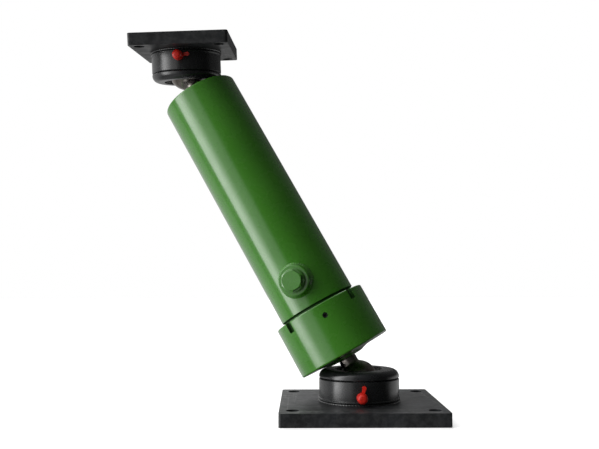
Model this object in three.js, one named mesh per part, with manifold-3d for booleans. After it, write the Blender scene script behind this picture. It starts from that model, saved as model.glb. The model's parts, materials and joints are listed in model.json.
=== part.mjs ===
// Three-stage telescopic hydraulic cylinder with a ball-joint mounting plate at each end.
// Millimetres, +Z up. The base plate lies on z = 0, centred on the origin; the front faces -Y.
// The cylinder leans to -X until each ball stud is near the end of its swing.

import * as THREE from 'three';
import { mergeVertices } from 'three/addons/utils/BufferGeometryUtils.js';
import ManifoldModule from 'manifold-3d';

const wasm = await ManifoldModule();
wasm.setup();

// ---------------------------------------------------------------- driving dimensions

const DEG = Math.PI / 180;
const FINE = 28; // facets round the large outer pieces
const COARSE = 20; // facets round the inner pieces
const SMALL = 12; // facets round screws and nipples

const RUN = 0.3; // gap left between pieces that touch in the real assembly
const FACE_GAP = 0.1; // gap left between flat faces that rest on each other

// pose of the standing cylinder
const LEAN_LEFT = 29.17 * DEG;
const LEAN_BACK = 6.56 * DEG;
const TOP_PITCH = 7.5 * DEG;
const TOP_ROLL = -1.74 * DEG;
const BALL_SPACING = 442;

// ball joints
const BALL_R = 22.5;
const SEAT_R = 22.9;
const STEM_R = 10.75;
const SHANK_R = 10;
const BALL_ABOVE_PLATE = 24.5;
const BASE_SOCKET_R = 47;
const TOP_SOCKET_R = 43.75;
const POCKET_R = 33.3;
const SHOULDER_R = 8;
const RING_TOP = 12.5;
const RECESS_R = 28.3;
const RECESS_FLOOR = 8.6;

// mounting plates: width, depth, thickness, hole radius and hole offsets from the centre
const BASE_PLATE = { w: 185, d: 185, t: 15, hole: 7.25, hx: 77.5, hy: 72.5, corner: 3 };
const TOP_PLATE = { w: 120, d: 140, t: 15, hole: 6.5, hx: 48, hy: 58, corner: 3 };

// distances along the cylinder from the lower ball centre
const CUP_BOTTOM = 33; // at the rim
const CUP_NOSE = 28; // at the middle of the crowned end
const CUP_CROWN = [[20, 28.5], [27.5, 31], [32, 31.7], [46, 32.2]]; // radius, distance along
const CUP_TOP = 96;
const CUP_R = 57;
const CUP_BORE = 48;
const CUP_FLOOR = 70;
const O_RING_AT = 74.5;
const STUD_HOLE_DEPTH = 24;
const SLOT = { count: 4, width: 8, depth: 5, floor: 83.5 };
const SET_SCREW = { along: 81.6, azimuth: 2 * DEG, r: 2.95, hole: 3.2 };
const PORT = { along: 133.6, azimuth: -10.5 * DEG };
const RELIEF = { bottom: 92, top: 100, r: 45.2, slope: 1.6 }; // thread relief above the cup

// telescoping tubes: outer radius, bore, bottom and top
const BARREL = { r: 47.5, bore: 42.8, bottom: 70.3, top: 404 };
const STAGE_1 = { r: 38, bore: 34.3, flange: 24, bottom: 74.5, top: 405.8 };
const STAGE_2 = { r: 30.5, bore: 26.8, flange: 17, bottom: 83, top: 407.5 };
const PLUNGER = { r: 23, bore: 18.7, bottom: 91.5, top: 409.5 };
const PLUNGER_WELD = 392; // where the plunger's end plug is welded to its tube
const PLUNGER_PLUG = 381; // the end plug's inner end
const FLANGE = 8; // thickness of the inner flange at a stage's foot, which carries the next stage

// one gland: distances down from the tube's top, depths beyond the sliding surface
const GLAND = {
  length: 34, clearance: 0.4,
  wiper: 6, wiperDepth: 4.2,
  sealTop: 11, sealBottom: 17, sealDepth: 4.2,
  guideTop: 21, guideBottom: 31, guideDepth: 2.2,
};
// one foot: distances up from the tube's bottom and the groove depth
const FOOT = { bandBottom: 4, bandTop: 16, stopBottom: 36, stopTop: 40.6, depth: 1.6 };

// ---------------------------------------------------------------- finishes

const FINISHES = {
  green: { color: 0x2a7a1e, metalness: 0.1, roughness: 0.25 },
  black: { color: 0x26282b, metalness: 0.3, roughness: 0.5 },
  steel: { color: 0x9a9c9e, metalness: 0.9, roughness: 0.35 },
  chrome: { color: 0xc8cacc, metalness: 1, roughness: 0.12 },
  bronze: { color: 0xa57c3c, metalness: 0.8, roughness: 0.4 },
  zinc: { color: 0xb4b6b0, metalness: 0.9, roughness: 0.3 },
  red: { color: 0xd22a20, metalness: 0, roughness: 0.4 },
  nylon: { color: 0x3c4a5a, metalness: 0, roughness: 0.5 },
  rubber: { color: 0x1c1c1c, metalness: 0, roughness: 0.7 },
};

function piece(parent, name, geometry, finish) {
  const mesh = new THREE.Mesh(geometry, new THREE.MeshStandardMaterial(FINISHES[finish]));
  mesh.name = name;
  parent.add(mesh);
  return mesh;
}

// ---------------------------------------------------------------- solids

// Points of a circular arc in the (radius, height) plane, angles from the +radius direction.
function arc(centreR, centreZ, radius, from, to, steps) {
  const points = [];
  for (let i = 0; i <= steps; i++) {
    const angle = from + ((to - from) * i) / steps;
    points.push([centreR + radius * Math.cos(angle), centreZ + radius * Math.sin(angle)]);
  }
  return points;
}

// A (radius, height) profile turned about +Z. It starts and ends on the axis, or closes on itself.
function turned(profile, segments) {
  const points = profile.map(([r, z]) => new THREE.Vector2(r, z));
  if (THREE.ShapeUtils.isClockWise(points)) points.reverse();
  const onAxis = points[0].x === 0;
  if (!onAxis) points.push(points[0].clone());
  const geometry = new THREE.LatheGeometry(points, segments);
  geometry.rotateX(Math.PI / 2);
  return geometry;
}

function prism(outline, holes, depth) {
  const shape = new THREE.Shape(outline.map(([x, y]) => new THREE.Vector2(x, y)));
  for (const hole of holes) {
    shape.holes.push(new THREE.Path(hole.map(([x, y]) => new THREE.Vector2(x, y))));
  }
  return new THREE.ExtrudeGeometry(shape, { depth, bevelEnabled: false });
}

function circle(x, y, radius, segments) {
  const points = [];
  for (let i = 0; i < segments; i++) {
    const angle = (2 * Math.PI * i) / segments;
    points.push([x + radius * Math.cos(angle), y + radius * Math.sin(angle)]);
  }
  return points;
}

function hexagon(acrossFlats) {
  return circle(0, 0, acrossFlats / 2 / Math.cos(Math.PI / 6), 6);
}

function roundedRectangle(width, depth, corner, steps) {
  const points = [];
  const quadrants = [[1, 1, 0], [-1, 1, 90], [-1, -1, 180], [1, -1, 270]];
  for (const [sx, sy, start] of quadrants) {
    const cx = sx * (width / 2 - corner);
    const cy = sy * (depth / 2 - corner);
    points.push(...arc(cx, cy, corner, start * DEG, (start + 90) * DEG, steps));
  }
  return points;
}

function toManifold(geometry) {
  const bare = geometry.clone();
  bare.deleteAttribute('normal');
  bare.deleteAttribute('uv');
  const merged = mergeVertices(bare, 1e-4);
  const index = merged.index.array;
  const kept = [];
  for (let i = 0; i < index.length; i += 3) {
    const [a, b, c] = [index[i], index[i + 1], index[i + 2]];
    if (a !== b && b !== c && c !== a) kept.push(a, b, c);
  }
  return new wasm.Manifold(new wasm.Mesh({
    numProp: 3,
    vertProperties: new Float32Array(merged.attributes.position.array),
    triVerts: new Uint32Array(kept),
  }));
}

function toGeometry(solid) {
  const mesh = solid.getMesh();
  const geometry = new THREE.BufferGeometry();
  geometry.setAttribute('position', new THREE.BufferAttribute(mesh.vertProperties, 3));
  geometry.setIndex(new THREE.BufferAttribute(mesh.triVerts, 1));
  const flat = geometry.toNonIndexed();
  flat.computeVertexNormals();
  return flat;
}

function cut(geometry, tools) {
  let solid = toManifold(geometry);
  for (const tool of tools) solid = solid.subtract(toManifold(tool));
  return toGeometry(solid);
}

function join(geometry, others) {
  let solid = toManifold(geometry);
  for (const other of others) solid = solid.add(toManifold(other));
  return toGeometry(solid);
}

// Moves a solid built along +Z so that it points outwards from the Z axis.
// Azimuth 0 is the front (-Y) and grows towards +X.
function outwards(geometry, azimuth, height) {
  geometry.rotateX(Math.PI / 2);
  geometry.rotateZ(azimuth);
  geometry.translate(0, 0, height);
  return geometry;
}

function drill(radius, from, to, segments) {
  const geometry = new THREE.CylinderGeometry(radius, radius, to - from, segments);
  geometry.rotateX(Math.PI / 2);
  geometry.translate(0, 0, (from + to) / 2);
  return geometry;
}

// ---------------------------------------------------------------- ball-joint mount

// Heights are measured from the ball's centre, with +Z out of the socket's mouth.

const NIPPLE_HEIGHT = -15;
const NIPPLE = { hole: 3.05, shank: 2.8, hex: 8, hexLength: 3.5, neck: 2, head: 3.1, length: 8.6 };
const SOCKET_BOTTOM = -BALL_ABOVE_PLATE + FACE_GAP;

function mountingPlate(plate) {
  const holes = [];
  for (const [sx, sy] of [[1, 1], [-1, 1], [-1, -1], [1, -1]]) {
    holes.push(circle(sx * plate.hx, sy * plate.hy, plate.hole, 20));
  }
  const geometry = prism(roundedRectangle(plate.w, plate.d, plate.corner, 3), holes, plate.t);
  geometry.translate(0, 0, -BALL_ABOVE_PLATE - plate.t);
  return geometry;
}

function socket(outer, nippleAzimuth) {
  const body = turned([
    [27, SOCKET_BOTTOM], [outer - 2.5, SOCKET_BOTTOM], [outer - 2.5, -22.2],
    [outer + 1, -22.2], [outer + 1, -20.6], [outer, -19.9],
    [outer, 1.3], [outer - 0.9, 2.2], [POCKET_R, 2.2],
    [POCKET_R, -21.2], [27, -21.2],
  ], FINE);
  const hole = outwards(drill(NIPPLE.hole, 30, outer + 5, SMALL), nippleAzimuth, NIPPLE_HEIGHT);
  return cut(body, [hole]);
}

function weldBead(outer) {
  return turned([
    [outer - 2.2, SOCKET_BOTTOM], [outer + 1.3, SOCKET_BOTTOM],
    [outer + 0.7, -23.1], [outer - 2.2, -22.5],
  ], FINE);
}

function seat() {
  const sphere = arc(0, 0, SEAT_R, -5 * DEG, -61 * DEG, 5);
  return turned([...sphere, [11, -21], [33, -21], [33, -14], [32, -13], [33, -12],
    [33, SEAT_R * Math.sin(-5 * DEG)]], COARSE);
}

function retainingRing(outer) {
  const sphere = arc(0, 0, SEAT_R, -3.8 * DEG, Math.asin(RECESS_FLOOR / SEAT_R), 3);
  const shoulder = arc(outer - SHOULDER_R, RING_TOP - SHOULDER_R, SHOULDER_R, 90 * DEG, 0, 3);
  return turned([
    ...sphere, [RECESS_R, RECESS_FLOOR], [RECESS_R, 10.1], [RECESS_R + 0.9, 10.1],
    [RECESS_R + 0.9, 11.3], [RECESS_R, 11.3], [RECESS_R, 12], [RECESS_R + 0.5, RING_TOP],
    ...shoulder, [outer, 3.7], [outer - 0.9, 2.9],
    [POCKET_R - RUN, 2.9], [POCKET_R - RUN, SEAT_R * Math.sin(-3.8 * DEG)],
  ], FINE);
}

function dustRing() {
  return turned([[21, 8.8], [RECESS_R - RUN, 8.8], [RECESS_R - RUN, 10], [20.5, 10]], COARSE);
}

// Internal circlip: an open ring with two drilled lugs that point inwards beside its gap.
function circlip(gapAzimuth) {
  const outerR = RECESS_R + 0.6;
  const innerR = 26.2;
  const lugR = 22.8;
  const gap = 7;
  const lug = 10;
  const polar = (r, degrees) => [r * Math.cos(degrees * DEG), r * Math.sin(degrees * DEG)];
  const outline = [];
  for (let i = 0; i <= 36; i++) outline.push(polar(outerR, gap + ((360 - 2 * gap) * i) / 36));
  outline.push(polar(lugR, 360 - gap), polar(lugR, 360 - gap - lug));
  const inner = 360 - 2 * (gap + lug);
  for (let i = 0; i <= 30; i++) outline.push(polar(innerR, 360 - gap - lug - (inner * i) / 30));
  outline.push(polar(lugR, gap + lug), polar(lugR, gap));
  const eyes = [gap + lug / 2, -gap - lug / 2].map((degrees) => {
    const [x, y] = polar(24.9, degrees);
    return circle(x, y, 1.1, 10);
  });
  const geometry = prism(outline, eyes, 1);
  geometry.rotateZ(gapAzimuth);
  geometry.translate(0, 0, 10.2);
  return geometry;
}

// Hexagon-bodied grease nipple screwed into the socket's wall.
function greaseNipple(outer, azimuth) {
  const start = outer + FACE_GAP;
  const body = turned([
    [0, outer - 10.5], [NIPPLE.shank - 0.4, outer - 10.5], [NIPPLE.shank, outer - 10],
    [NIPPLE.shank, start + 1], [NIPPLE.shank, start + NIPPLE.hexLength],
    [NIPPLE.neck, start + NIPPLE.hexLength + 1.6], [NIPPLE.head, start + NIPPLE.length - 2],
    [NIPPLE.head - 0.8, start + NIPPLE.length], [0, start + NIPPLE.length],
  ], SMALL);
  const hex = prism(hexagon(NIPPLE.hex), [], NIPPLE.hexLength);
  hex.translate(0, 0, start);
  return outwards(join(body, [hex]), azimuth, NIPPLE_HEIGHT);
}

// Pull-off nipple cap: a domed cup with a tongue on one side.
// The tongue's angle is measured from the socket's mouth direction.
function nippleCap(outer, azimuth, tongueAngle) {
  const start = outer + 1.3;
  const shell = turned([
    [0, start + 10.3], [3, start + 9.9], [4.95, start + 8.2], [4.95, start],
    [6, start], [6.2, start + 1.2], [6, start + 8.6],
    [5.2, start + 10.6], [3.2, start + 11.7], [0, start + 12],
  ], SMALL);
  const end = arc(0, 11.2, 2.5, 0, 180 * DEG, 6);
  const tongue = prism([[-2, 5.4], [2, 5.4], [1.9, 8.6], ...end, [-1.9, 8.6]], [], 2.2);
  tongue.rotateZ(tongueAngle);
  tongue.translate(0, 0, start + 0.6);
  return outwards(join(shell, [tongue]), azimuth, NIPPLE_HEIGHT);
}

function ballStud(stemLength, shankLength) {
  const joinAngle = Math.acos(STEM_R / BALL_R);
  return turned([
    ...arc(0, 0, BALL_R, -90 * DEG, joinAngle, 11).map(([r, z], i) => [i === 0 ? 0 : r, z]),
    [STEM_R, stemLength], [SHANK_R, stemLength],
    [SHANK_R, stemLength + shankLength - 1.5],
    [SHANK_R - 1.5, stemLength + shankLength], [0, stemLength + shankLength],
  ], COARSE);
}

function buildMount(parent, prefix, plate, outer, seatFinish, nipple, tongueAngle, gapAzimuth) {
  piece(parent, `${prefix}_plate`, mountingPlate(plate), 'black');
  piece(parent, `${prefix}_weld_bead`, weldBead(outer), 'black');
  piece(parent, `${prefix}_socket`, socket(outer, nipple), 'black');
  piece(parent, `${prefix}_seat`, seat(), seatFinish);
  piece(parent, `${prefix}_retaining_ring`, retainingRing(outer), 'black');
  piece(parent, `${prefix}_dust_ring`, dustRing(), 'rubber');
  piece(parent, `${prefix}_circlip`, circlip(gapAzimuth), 'steel');
  piece(parent, `${prefix}_grease_nipple`, greaseNipple(outer, nipple), 'zinc');
  piece(parent, `${prefix}_nipple_cap`, nippleCap(outer, nipple, tongueAngle), 'red');
}

// ---------------------------------------------------------------- telescoping tubes

// Inner profile of a tube's top: gland bore with guide, seal and wiper grooves, from below upwards.
function glandProfile(tube, shaftR) {
  const bore = shaftR + GLAND.clearance;
  const at = (down) => tube.top - down;
  return [
    [tube.bore, at(GLAND.length)], [bore, at(GLAND.length)],
    [bore, at(GLAND.guideBottom)], [shaftR + GLAND.guideDepth, at(GLAND.guideBottom)],
    [shaftR + GLAND.guideDepth, at(GLAND.guideTop)], [bore, at(GLAND.guideTop)],
    [bore, at(GLAND.sealBottom)], [shaftR + GLAND.sealDepth, at(GLAND.sealBottom)],
    [shaftR + GLAND.sealDepth, at(GLAND.sealTop)], [bore, at(GLAND.sealTop)],
    [bore, at(GLAND.wiper)], [shaftR + GLAND.wiperDepth, at(GLAND.wiper)],
    [shaftR + GLAND.wiperDepth, tube.top],
  ];
}

// Outer profile of a tube's foot: grooves for the bearing band and the stop ring, from above down.
function footProfile(tube) {
  const at = (up) => tube.bottom + up;
  const groove = tube.r - FOOT.depth;
  return [
    [tube.r, at(FOOT.stopTop)], [groove, at(FOOT.stopTop)],
    [groove, at(FOOT.stopBottom)], [tube.r, at(FOOT.stopBottom)],
    [tube.r, at(FOOT.bandTop)], [groove, at(FOOT.bandTop)],
    [groove, at(FOOT.bandBottom)], [tube.r, at(FOOT.bandBottom)],
    [tube.r, tube.bottom],
  ];
}

function stageTube(tube, shaftR) {
  return turned([
    [tube.flange, tube.bottom], [tube.flange, tube.bottom + FLANGE],
    [tube.bore, tube.bottom + FLANGE], ...glandProfile(tube, shaftR),
    [tube.r - 0.8, tube.top], [tube.r, tube.top - 0.8], ...footProfile(tube),
  ], COARSE);
}

function ring(innerR, outerR, bottom, top) {
  return turned([[innerR, bottom], [outerR, bottom], [outerR, top], [innerR, top]], COARSE);
}

function guideRing(tube, shaftR) {
  return ring(shaftR + RUN, shaftR + GLAND.guideDepth - RUN,
    tube.top - GLAND.guideBottom + RUN, tube.top - GLAND.guideTop - RUN);
}

// U-shaped lip seal, open towards the oil below.
function lipSeal(tube, shaftR) {
  const bottom = tube.top - GLAND.sealBottom + RUN;
  const top = tube.top - GLAND.sealTop - RUN;
  const inner = shaftR + RUN;
  const outer = shaftR + GLAND.sealDepth - RUN;
  return turned([
    [inner, bottom], [inner, top], [outer, top], [outer, bottom],
    [outer - 1.1, bottom], [(inner + outer) / 2, bottom + 2.4], [inner + 1.1, bottom],
  ], COARSE);
}

function wiper(tube, shaftR) {
  const bottom = tube.top - GLAND.wiper + RUN;
  const outer = shaftR + GLAND.wiperDepth - RUN;
  return turned([
    [shaftR + 1.2, bottom], [outer, bottom], [outer, tube.top - 0.4],
    [shaftR + 1.4, tube.top - 0.4], [shaftR + 0.8, tube.top + 0.4],
    [shaftR + RUN, tube.top + 0.4], [shaftR + 0.6, tube.top - 2.5],
  ], COARSE);
}

function footRing(tube, boreR, from, to) {
  return ring(tube.r - FOOT.depth + RUN, boreR - RUN,
    tube.bottom + from + RUN, tube.bottom + to - RUN);
}

function buildGland(parent, prefix, tube, shaftR) {
  piece(parent, `${prefix}_guide_ring`, guideRing(tube, shaftR), 'bronze');
  piece(parent, `${prefix}_lip_seal`, lipSeal(tube, shaftR), 'nylon');
  piece(parent, `${prefix}_wiper`, wiper(tube, shaftR), 'rubber');
}

function buildFoot(parent, prefix, tube, boreR) {
  const band = footRing(tube, boreR, FOOT.bandBottom, FOOT.bandTop);
  const stop = footRing(tube, boreR, FOOT.stopBottom, FOOT.stopTop);
  piece(parent, `${prefix}_bearing_band`, band, 'bronze');
  piece(parent, `${prefix}_stop_ring`, stop, 'steel');
}

// ---------------------------------------------------------------- barrel and its fittings

const BOSS = { r: 18.2, skirt: 21.2, top: 56, bore: 10.6, oilway: 9 };
const PLUG = { shank: 10.2, collar: 13.5, collarTop: 61.2, hex: 22, top: 68 };
const WASHER = { inner: 10.8, outer: 14.1, bottom: 56.1, top: 58 };

function barrelTube() {
  const tube = turned([
    [BARREL.bore, BARREL.bottom], ...glandProfile(BARREL, STAGE_1.r),
    [BARREL.r - 1.5, BARREL.top], [BARREL.r, BARREL.top - 1.5],
    [BARREL.r, RELIEF.top], [RELIEF.r, RELIEF.top - RELIEF.slope],
    [RELIEF.r, RELIEF.bottom], [BARREL.r, RELIEF.bottom - RELIEF.slope],
    [BARREL.r, BARREL.bottom + 1], [BARREL.r - 1, BARREL.bottom],
  ], FINE);
  return cut(tube, [outwards(drill(BOSS.oilway, 30, 60, SMALL), PORT.azimuth, PORT.along)]);
}

// Weld-on boss whose underside is hollowed to sit on the barrel.
function portBoss() {
  const body = turned([
    [BOSS.bore, 38], [BOSS.skirt, 38], [BOSS.skirt, 47.2], [BOSS.r + 1, 49],
    [BOSS.r, 50.8], [BOSS.r, BOSS.top - 1], [BOSS.r - 1, BOSS.top],
    [BOSS.bore + 0.9, BOSS.top], [BOSS.bore, BOSS.top - 0.9],
  ], COARSE);
  outwards(body, PORT.azimuth, PORT.along);
  const saddle = drill(BARREL.r + FACE_GAP, PORT.along - 40, PORT.along + 40, 2 * FINE);
  return cut(body, [saddle]);
}

function portPlug() {
  const body = turned([
    [0, 48.5], [PLUG.shank - 1, 48.5], [PLUG.shank, 49.5], [PLUG.shank, WASHER.top + FACE_GAP],
    [PLUG.collar, WASHER.top + FACE_GAP], [PLUG.collar, PLUG.collarTop - 0.5],
    [PLUG.collar - 0.5, PLUG.collarTop], [0, PLUG.collarTop],
  ], COARSE);
  const hex = prism(hexagon(PLUG.hex), [], PLUG.top - PLUG.collarTop + 1);
  hex.translate(0, 0, PLUG.collarTop - 1);
  const crown = turned([
    [0, 58], [15, 58], [15, PLUG.top - 2], [PLUG.hex / 2 - 0.3, PLUG.top], [0, PLUG.top],
  ], 24);
  const head = toManifold(hex).intersect(toManifold(crown));
  return outwards(toGeometry(toManifold(body).add(head)), PORT.azimuth, PORT.along);
}

function portWasher() {
  const washer = ring(WASHER.inner, WASHER.outer, WASHER.bottom, WASHER.top);
  return outwards(washer, PORT.azimuth, PORT.along);
}

// Cup screwed on the barrel, with spanner slots in its rim and a crowned closed end.
function baseCup() {
  const stud = CUP_BOTTOM + STUD_HOLE_DEPTH;
  const holeR = SHANK_R + RUN;
  const body = turned([
    [0, stud], [holeR, stud], [holeR, CUP_NOSE], ...CUP_CROWN,
    [CUP_R - 1.5, CUP_BOTTOM], [CUP_R, CUP_BOTTOM + 1.5],
    [CUP_R, CUP_TOP - 1.2], [CUP_R - 1.2, CUP_TOP],
    [CUP_BORE + 2.6, CUP_TOP], [CUP_BORE, CUP_TOP - 3.4],
    [CUP_BORE, O_RING_AT + 1.7], [CUP_BORE + 2.4, O_RING_AT + 1.7],
    [CUP_BORE + 2.4, O_RING_AT - 1.7], [CUP_BORE, O_RING_AT - 1.7],
    [CUP_BORE, CUP_FLOOR], [0, CUP_FLOOR],
  ], FINE);
  const tools = [];
  for (let i = 0; i < SLOT.count; i++) {
    const slot = new THREE.BoxGeometry(SLOT.width, 2 * SLOT.depth, 2 * (CUP_TOP - SLOT.floor));
    slot.translate(0, -CUP_R, CUP_TOP);
    slot.rotateZ((45 + i * 90) * DEG);
    tools.push(slot);
  }
  const screwHole = drill(SET_SCREW.hole, CUP_BORE - 2, CUP_R + 2, SMALL);
  tools.push(outwards(screwHole, SET_SCREW.azimuth, SET_SCREW.along));
  return cut(body, tools);
}

function cupORing() {
  return turned(arc(48.95, O_RING_AT, 1.05, 0, 300 * DEG, 5), FINE);
}

function setScrew() {
  const body = turned([
    [0, BARREL.r + 0.4], [2, BARREL.r + 0.4], [SET_SCREW.r, BARREL.r + 1.4],
    [SET_SCREW.r, CUP_R - 1], [SET_SCREW.r - 0.4, CUP_R - 0.6], [0, CUP_R - 0.6],
  ], SMALL);
  const key = prism(hexagon(3), [], 5);
  key.translate(0, 0, CUP_R - 4);
  return outwards(cut(body, [key]), SET_SCREW.azimuth, SET_SCREW.along);
}

// ---------------------------------------------------------------- plunger

function plungerTube() {
  return turned([
    [PLUNGER.bore, PLUNGER.bottom], [PLUNGER.bore, PLUNGER_WELD],
    [PLUNGER.r, PLUNGER_WELD], ...footProfile(PLUNGER),
  ], COARSE);
}

function plungerEnd() {
  const holeR = SHANK_R + RUN;
  const spigotR = PLUNGER.bore - RUN;
  return turned([
    [0, PLUNGER_PLUG], [spigotR, PLUNGER_PLUG], [spigotR, PLUNGER_WELD + FACE_GAP],
    [PLUNGER.r, PLUNGER_WELD + FACE_GAP],
    [PLUNGER.r, PLUNGER.top - 1], [PLUNGER.r - 1, PLUNGER.top],
    [holeR, PLUNGER.top], [holeR, PLUNGER.top - STUD_HOLE_DEPTH],
    [0, PLUNGER.top - STUD_HOLE_DEPTH],
  ], COARSE);
}

// ---------------------------------------------------------------- assembly

const group = new THREE.Group();
group.name = 'telescopic_cylinder';

const base = new THREE.Group();
base.position.z = BASE_PLATE.t + BALL_ABOVE_PLATE;
group.add(base);
buildMount(base, 'base', BASE_PLATE, BASE_SOCKET_R, 'bronze', 0, -12 * DEG, 130 * DEG);

// the cylinder's own +Z runs from the lower ball to the upper one
const cylinder = new THREE.Group();
cylinder.rotation.set(-LEAN_BACK, -LEAN_LEFT, 0, 'YXZ');
base.add(cylinder);

const studShank = CUP_BOTTOM + STUD_HOLE_DEPTH - CUP_NOSE;
piece(cylinder, 'base_ball_stud', ballStud(CUP_NOSE - RUN, studShank), 'steel');

piece(cylinder, 'base_cup', baseCup(), 'green');
piece(cylinder, 'cup_o_ring', cupORing(), 'rubber');
piece(cylinder, 'cup_set_screw', setScrew(), 'steel');
piece(cylinder, 'barrel_tube', barrelTube(), 'green');
piece(cylinder, 'port_boss', portBoss(), 'green');
piece(cylinder, 'port_washer', portWasher(), 'green');
piece(cylinder, 'port_plug', portPlug(), 'green');
buildGland(cylinder, 'barrel', BARREL, STAGE_1.r);

piece(cylinder, 'stage_1_tube', stageTube(STAGE_1, STAGE_2.r), 'chrome');
buildFoot(cylinder, 'stage_1', STAGE_1, BARREL.bore);
buildGland(cylinder, 'stage_1', STAGE_1, STAGE_2.r);

piece(cylinder, 'stage_2_tube', stageTube(STAGE_2, PLUNGER.r), 'chrome');
buildFoot(cylinder, 'stage_2', STAGE_2, STAGE_1.bore);
buildGland(cylinder, 'stage_2', STAGE_2, PLUNGER.r);

piece(cylinder, 'plunger_tube', plungerTube(), 'chrome');
piece(cylinder, 'plunger_end', plungerEnd(), 'chrome');
buildFoot(cylinder, 'plunger', PLUNGER, STAGE_2.bore);

// the upper stud points down the cylinder from the upper ball's centre
const rodStud = new THREE.Group();
rodStud.position.z = BALL_SPACING;
rodStud.rotation.y = Math.PI;
cylinder.add(rodStud);
const rodStem = BALL_SPACING - PLUNGER.top - RUN;
piece(rodStud, 'rod_ball_stud', ballStud(rodStem, STUD_HOLE_DEPTH - RUN), 'steel');

// the upper mount hangs mouth down from the upper ball's centre
const axis = new THREE.Vector3(0, 0, 1).applyEuler(cylinder.rotation);
const top = new THREE.Group();
top.position.copy(axis).multiplyScalar(BALL_SPACING);
top.rotation.set(TOP_PITCH, TOP_ROLL, 0, 'XYZ');
base.add(top);
const topMount = new THREE.Group();
topMount.rotation.y = Math.PI;
top.add(topMount);
buildMount(topMount, 'top', TOP_PLATE, TOP_SOCKET_R, 'nylon', 4 * DEG, 95 * DEG, 0);

export default group;
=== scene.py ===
import json
import math

import bmesh
import bpy
from mathutils import Matrix, Vector, noise


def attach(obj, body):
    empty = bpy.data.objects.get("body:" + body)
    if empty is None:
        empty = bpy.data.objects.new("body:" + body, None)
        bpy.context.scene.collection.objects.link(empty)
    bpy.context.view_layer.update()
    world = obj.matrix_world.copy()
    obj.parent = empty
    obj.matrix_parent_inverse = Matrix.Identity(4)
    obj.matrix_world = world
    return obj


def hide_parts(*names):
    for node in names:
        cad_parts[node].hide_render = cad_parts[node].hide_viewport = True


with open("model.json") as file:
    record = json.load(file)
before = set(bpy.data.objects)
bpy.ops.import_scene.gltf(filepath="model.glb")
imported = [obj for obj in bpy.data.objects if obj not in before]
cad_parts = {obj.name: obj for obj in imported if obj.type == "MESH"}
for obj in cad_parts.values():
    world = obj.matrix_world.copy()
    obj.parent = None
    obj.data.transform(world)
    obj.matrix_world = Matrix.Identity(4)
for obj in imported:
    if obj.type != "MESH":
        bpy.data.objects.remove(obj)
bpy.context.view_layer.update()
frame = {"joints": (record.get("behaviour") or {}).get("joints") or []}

# Lengths in this script are millimetres until a mesh is written, which is in metres.
MM = 0.001
DEG = math.pi / 180
ROUND = 144      # segments round the large turned pieces
INNER = 96       # segments round the inner tubes and rings
SMALL = 48       # segments round screws, nipples and caps

# ---------------------------------------------------------------- dimensions

BALL_R, SEAT_R, STEM_R, SHANK_R = 22.5, 22.9, 10.75, 10.0
BALL_ABOVE_PLATE = 24.5
SOCKET_BOTTOM = -24.4
POCKET_R, RECESS_R, RECESS_FLOOR = 33.3, 28.3, 8.6
RING_TOP, SHOULDER_R = 12.5, 8.0
BASE_SOCKET_R, TOP_SOCKET_R = 47.0, 43.75
BASE_PLATE = dict(w=185.0, d=185.0, t=15.0, hole=7.25, hx=77.5, hy=72.5, corner=3.0)
TOP_PLATE = dict(w=120.0, d=140.0, t=15.0, hole=6.5, hx=48.0, hy=58.0, corner=3.4)
BALL_SPACING = 442.0
RUN = 0.3        # gap between pieces that touch in the real assembly

CUP_BOTTOM, CUP_TOP, CUP_R, CUP_BORE, CUP_FLOOR = 33.0, 96.0, 57.0, 48.0, 70.0
CUP_NOSE = 28.0                                            # middle of the crowned end
CUP_CROWN = [(20, 28.5, 14), (27.5, 31.0, 14), (32, 31.7, 14), (46, 32.2, 20)]
O_RING_AT, STUD_HOLE_DEPTH = 74.5, 24.0
SLOT_WIDTH, SLOT_DEPTH, SLOT_FLOOR = 8.0, 5.0, 83.5
SCREW_AT, SCREW_AZIMUTH, SCREW_R, SCREW_HOLE_R, SCREW_KEY = 81.6, 2 * DEG, 2.95, 3.2, 3.0
PORT_AT, PORT_AZIMUTH = 133.6, -10.5 * DEG
RELIEF_BOTTOM, RELIEF_TOP, RELIEF_R = 92.0, 100.0, 45.2   # thread relief above the cup
RELIEF_SLOPE = 1.6

BARREL = dict(r=47.5, bore=42.8, bottom=70.3, top=404.0)
STAGE_1 = dict(r=38.0, bore=34.3, flange=24.0, bottom=74.5, top=405.8)
STAGE_2 = dict(r=30.5, bore=26.8, flange=17.0, bottom=83.0, top=407.5)
PLUNGER = dict(r=23.0, bore=18.7, bottom=91.5, top=409.5)
PLUNGER_WELD, PLUNGER_PLUG, FLANGE = 392.0, 381.0, 8.0

BOSS_R, BOSS_SKIRT, BOSS_TOP, BOSS_BORE = 18.2, 21.2, 56.0, 10.6
PLUG_SHANK, PLUG_COLLAR, PLUG_COLLAR_TOP, PLUG_HEX, PLUG_TOP = 10.2, 13.5, 61.2, 22.0, 68.0
WASHER_IN, WASHER_OUT, WASHER_BOTTOM, WASHER_TOP = 10.8, 14.1, 56.1, 58.0
NIPPLE_HEIGHT = -15.0

# ---------------------------------------------------------------- frames

JOINTS = {j["name"]: j for j in frame["joints"]}


def axes(origin, x, y, z):
    m = Matrix((x, y, z)).transposed().to_4x4()
    m.translation = origin
    return m


lower = Vector(JOINTS["base_tilt"]["pos_m"])
upper = Vector(JOINTS["rod_spin"]["pos_m"])
along = Vector(JOINTS["barrel_spin"]["axis"]).normalized()
across = Vector((0, 1, 0)).cross(along).normalized()
behind = along.cross(across)
top_up = Vector(JOINTS["top_swivel"]["axis"]).normalized()
top_y = Vector((0, top_up.z, -top_up.y)).normalized()
top_x = top_y.cross(top_up)

BASE = Matrix.Translation(lower)
CYLINDER = axes(lower, across, behind, along)
ROD = axes(upper, -across, behind, -along)
TOP = axes(upper, -top_x, top_y, -top_up)


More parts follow.
